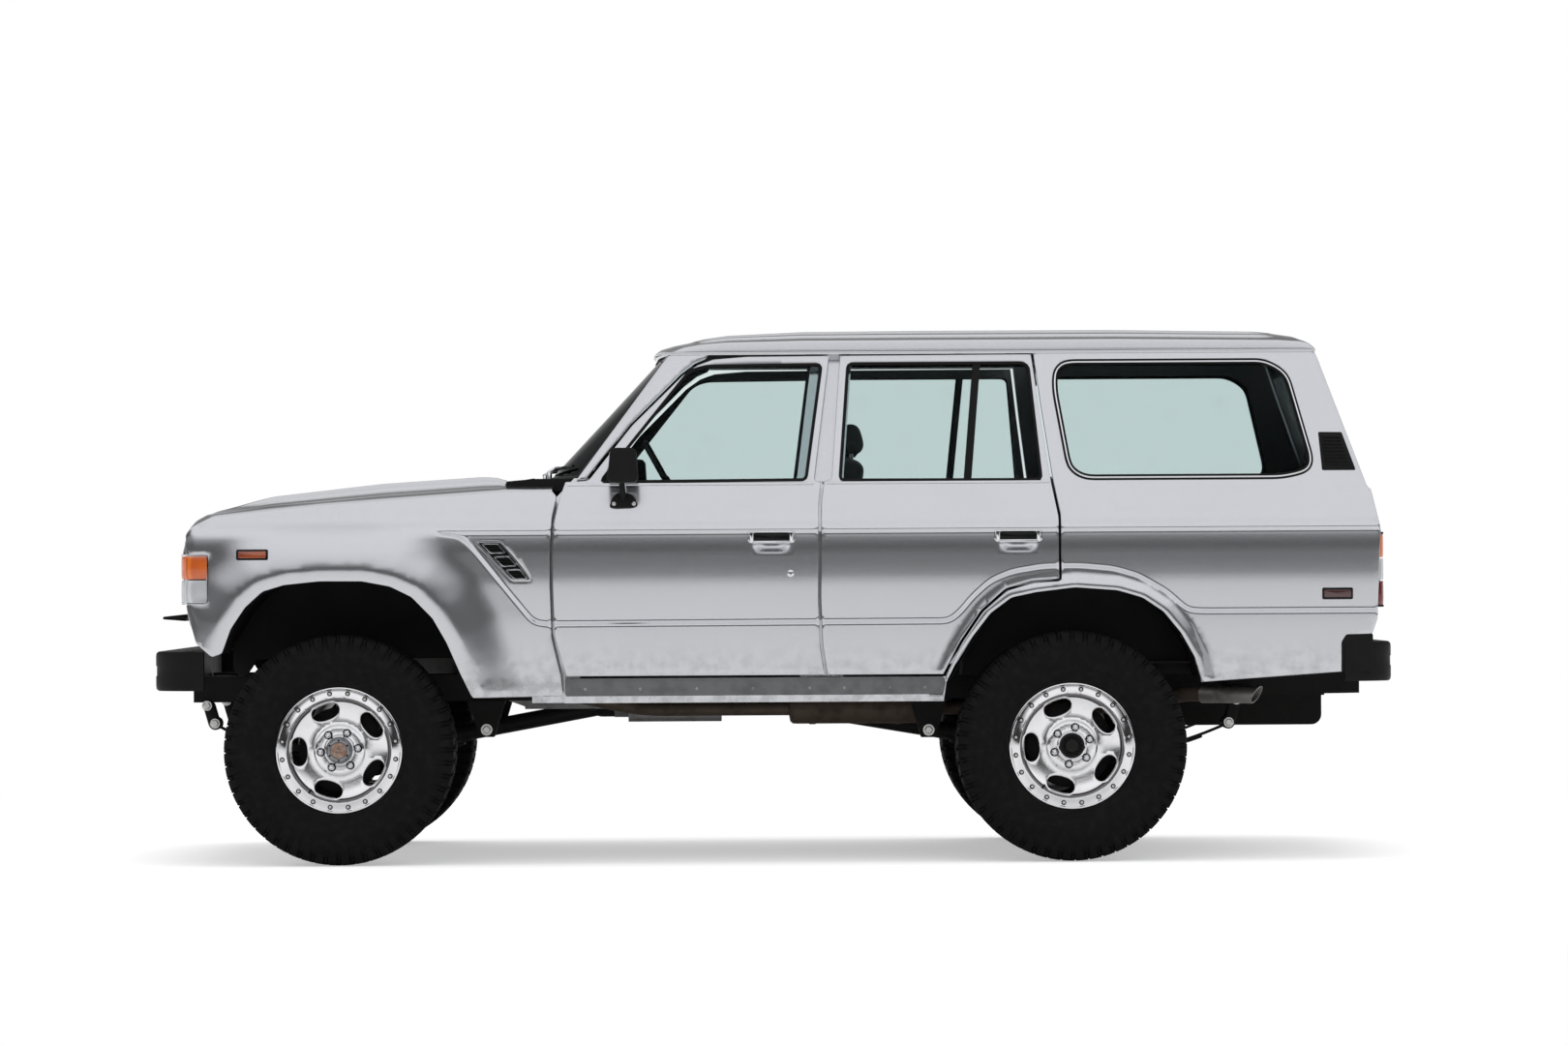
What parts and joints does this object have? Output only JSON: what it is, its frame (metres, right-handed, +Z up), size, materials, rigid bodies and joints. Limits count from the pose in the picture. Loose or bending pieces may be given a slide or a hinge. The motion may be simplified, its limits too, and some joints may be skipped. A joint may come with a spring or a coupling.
{
  "type": "off-road estate car",
  "caption": "Lifted five-door off-road estate in silver on wide all-terrain tyres, with black bumpers, steering and opening doors, bonnet and split tailgate",
  "frame": {"origin": "on the floor, at the middle of the overall box", "axes": "+X rearwards, +Y to the right side, +Z up"},
  "size_m": [4.64, 2.084, 2.014],
  "materials": {
    "silver_paint": "satin",
    "black_paint": "satin",
    "glass": "polished",
    "amber_lens": "polished",
    "red_lens": "polished",
    "grey_metal": "matte",
    "steel": "satin",
    "chrome": "polished",
    "alloy": "polished",
    "tyre": "matte",
    "trim": "matte",
    "cloth": "matte"
  },
  "bodies": {
    "chassis": {"corner_lamps": "amber_lens", "dashboard": "trim", "engine": "grey_metal", "exhaust": "steel", "floor_pan": "black_paint", "frame": "black_paint", "front_axle": "black_paint", "front_bumper": "black_paint", "front_seats": "cloth", "front_wings": "silver_paint", "fuel_tank": "steel", "gearbox": "grey_metal", "grille": "chrome", "headlamps": "glass", "leaf_springs": "black_paint", "nose_panel": "silver_paint", "propeller_shafts": "black_paint", "quarter_glasses": "glass", "rear_axle": "black_paint", "rear_bench": "cloth", "rear_bumper": "black_paint", "roof": "silver_paint", "shock_absorbers": "steel", "side_panels": "silver_paint", "steering_wheel": "trim", "tail_lamps": "red_lens", "windscreen": "glass", "wipers": "trim"},
    "wheel_front_left": {"rim_front_left": "alloy", "tyre_front_left": "tyre"},
    "door_front_left_body": {"door_front_left": "silver_paint", "glass_front_left": "glass"},
    "wheel_front_right": {"rim_front_right": "alloy", "tyre_front_right": "tyre"},
    "door_front_right_body": {"door_front_right": "silver_paint", "glass_front_right": "glass"},
    "wheel_rear_left": {"rim_rear_left": "alloy", "tyre_rear_left": "tyre"},
    "door_rear_left_body": {"door_rear_left": "silver_paint", "glass_rear_left": "glass"},
    "wheel_rear_right": {"rim_rear_right": "alloy", "tyre_rear_right": "tyre"},
    "door_rear_right_body": {"door_rear_right": "silver_paint", "glass_rear_right": "glass"},
    "knuckle_left_body": {"knuckle_left": "grey_metal"},
    "knuckle_right_body": {"knuckle_right": "grey_metal"},
    "tie_rod_body": {"tie_rod": "grey_metal"},
    "bonnet_body": {"bonnet": "silver_paint"},
    "tailgate_upper_body": {"tailgate_upper": "silver_paint", "tailgate_glass": "glass"},
    "tailgate_lower_body": {"tailgate_lower": "silver_paint"}
  },
  "joints": [
    {"name": "steer_left", "type": "hinge", "parent": "chassis", "child": "knuckle_left_body", "pos_m": [-1.622, -0.62, 0.43], "axis": [0, 0, 1], "range_deg": [-28, 28]},
    {"name": "spin_front_left", "type": "hinge", "parent": "knuckle_left_body", "child": "wheel_front_left", "pos_m": [-1.622, -0.75, 0.43], "axis": [0, 1, 0], "continuous": true},
    {"name": "spin_rear_left", "type": "hinge", "parent": "chassis", "child": "wheel_rear_left", "pos_m": [1.108, -0.75, 0.43], "axis": [0, 1, 0], "continuous": true},
    {"name": "open_front_left", "type": "hinge", "parent": "chassis", "child": "door_front_left_body", "pos_m": [-0.826, -0.874, 1.1], "axis": [0, 0, -1], "range_deg": [0, 65]},
    {"name": "open_rear_left", "type": "hinge", "parent": "chassis", "child": "door_rear_left_body", "pos_m": [0.172, -0.874, 1.1], "axis": [0, 0, -1], "range_deg": [0, 65]},
    {"name": "steer_right", "type": "hinge", "parent": "chassis", "child": "knuckle_right_body", "pos_m": [-1.622, 0.62, 0.43], "axis": [0, 0, 1], "range_deg": [-28, 28]},
    {"name": "spin_front_right", "type": "hinge", "parent": "knuckle_right_body", "child": "wheel_front_right", "pos_m": [-1.622, 0.75, 0.43], "axis": [0, 1, 0], "continuous": true},
    {"name": "spin_rear_right", "type": "hinge", "parent": "chassis", "child": "wheel_rear_right", "pos_m": [1.108, 0.75, 0.43], "axis": [0, 1, 0], "continuous": true},
    {"name": "open_front_right", "type": "hinge", "parent": "chassis", "child": "door_front_right_body", "pos_m": [-0.826, 0.874, 1.1], "axis": [0, 0, 1], "range_deg": [0, 65]},
    {"name": "open_rear_right", "type": "hinge", "parent": "chassis", "child": "door_rear_right_body", "pos_m": [0.172, 0.874, 1.1], "axis": [0, 0, 1], "range_deg": [0, 65]},
    {"name": "tie_rod_pivot", "type": "hinge", "parent": "knuckle_left_body", "child": "tie_rod_body", "pos_m": [-1.772, -0.62, 0.456], "axis": [0, 0, 1], "range_deg": [-28, 28]},
    {"name": "open_bonnet", "type": "hinge", "parent": "chassis", "child": "bonnet_body", "pos_m": [-1.01, 0, 1.446], "axis": [0, 1, 0], "range_deg": [0, 52]},
    {"name": "lift_tailgate", "type": "hinge", "parent": "chassis", "child": "tailgate_upper_body", "pos_m": [2.042, 0, 1.902], "axis": [0, -1, 0], "range_deg": [0, 80]},
    {"name": "drop_tailgate", "type": "hinge", "parent": "chassis", "child": "tailgate_lower_body", "pos_m": [2.244, 0, 0.846], "axis": [0, 1, 0], "range_deg": [0, 90]}
  ],
  "couplings": [
    {"joint": "steer_right", "follows": "steer_left", "ratio": 1},
    {"joint": "tie_rod_pivot", "follows": "steer_left", "ratio": -1}
  ]
}
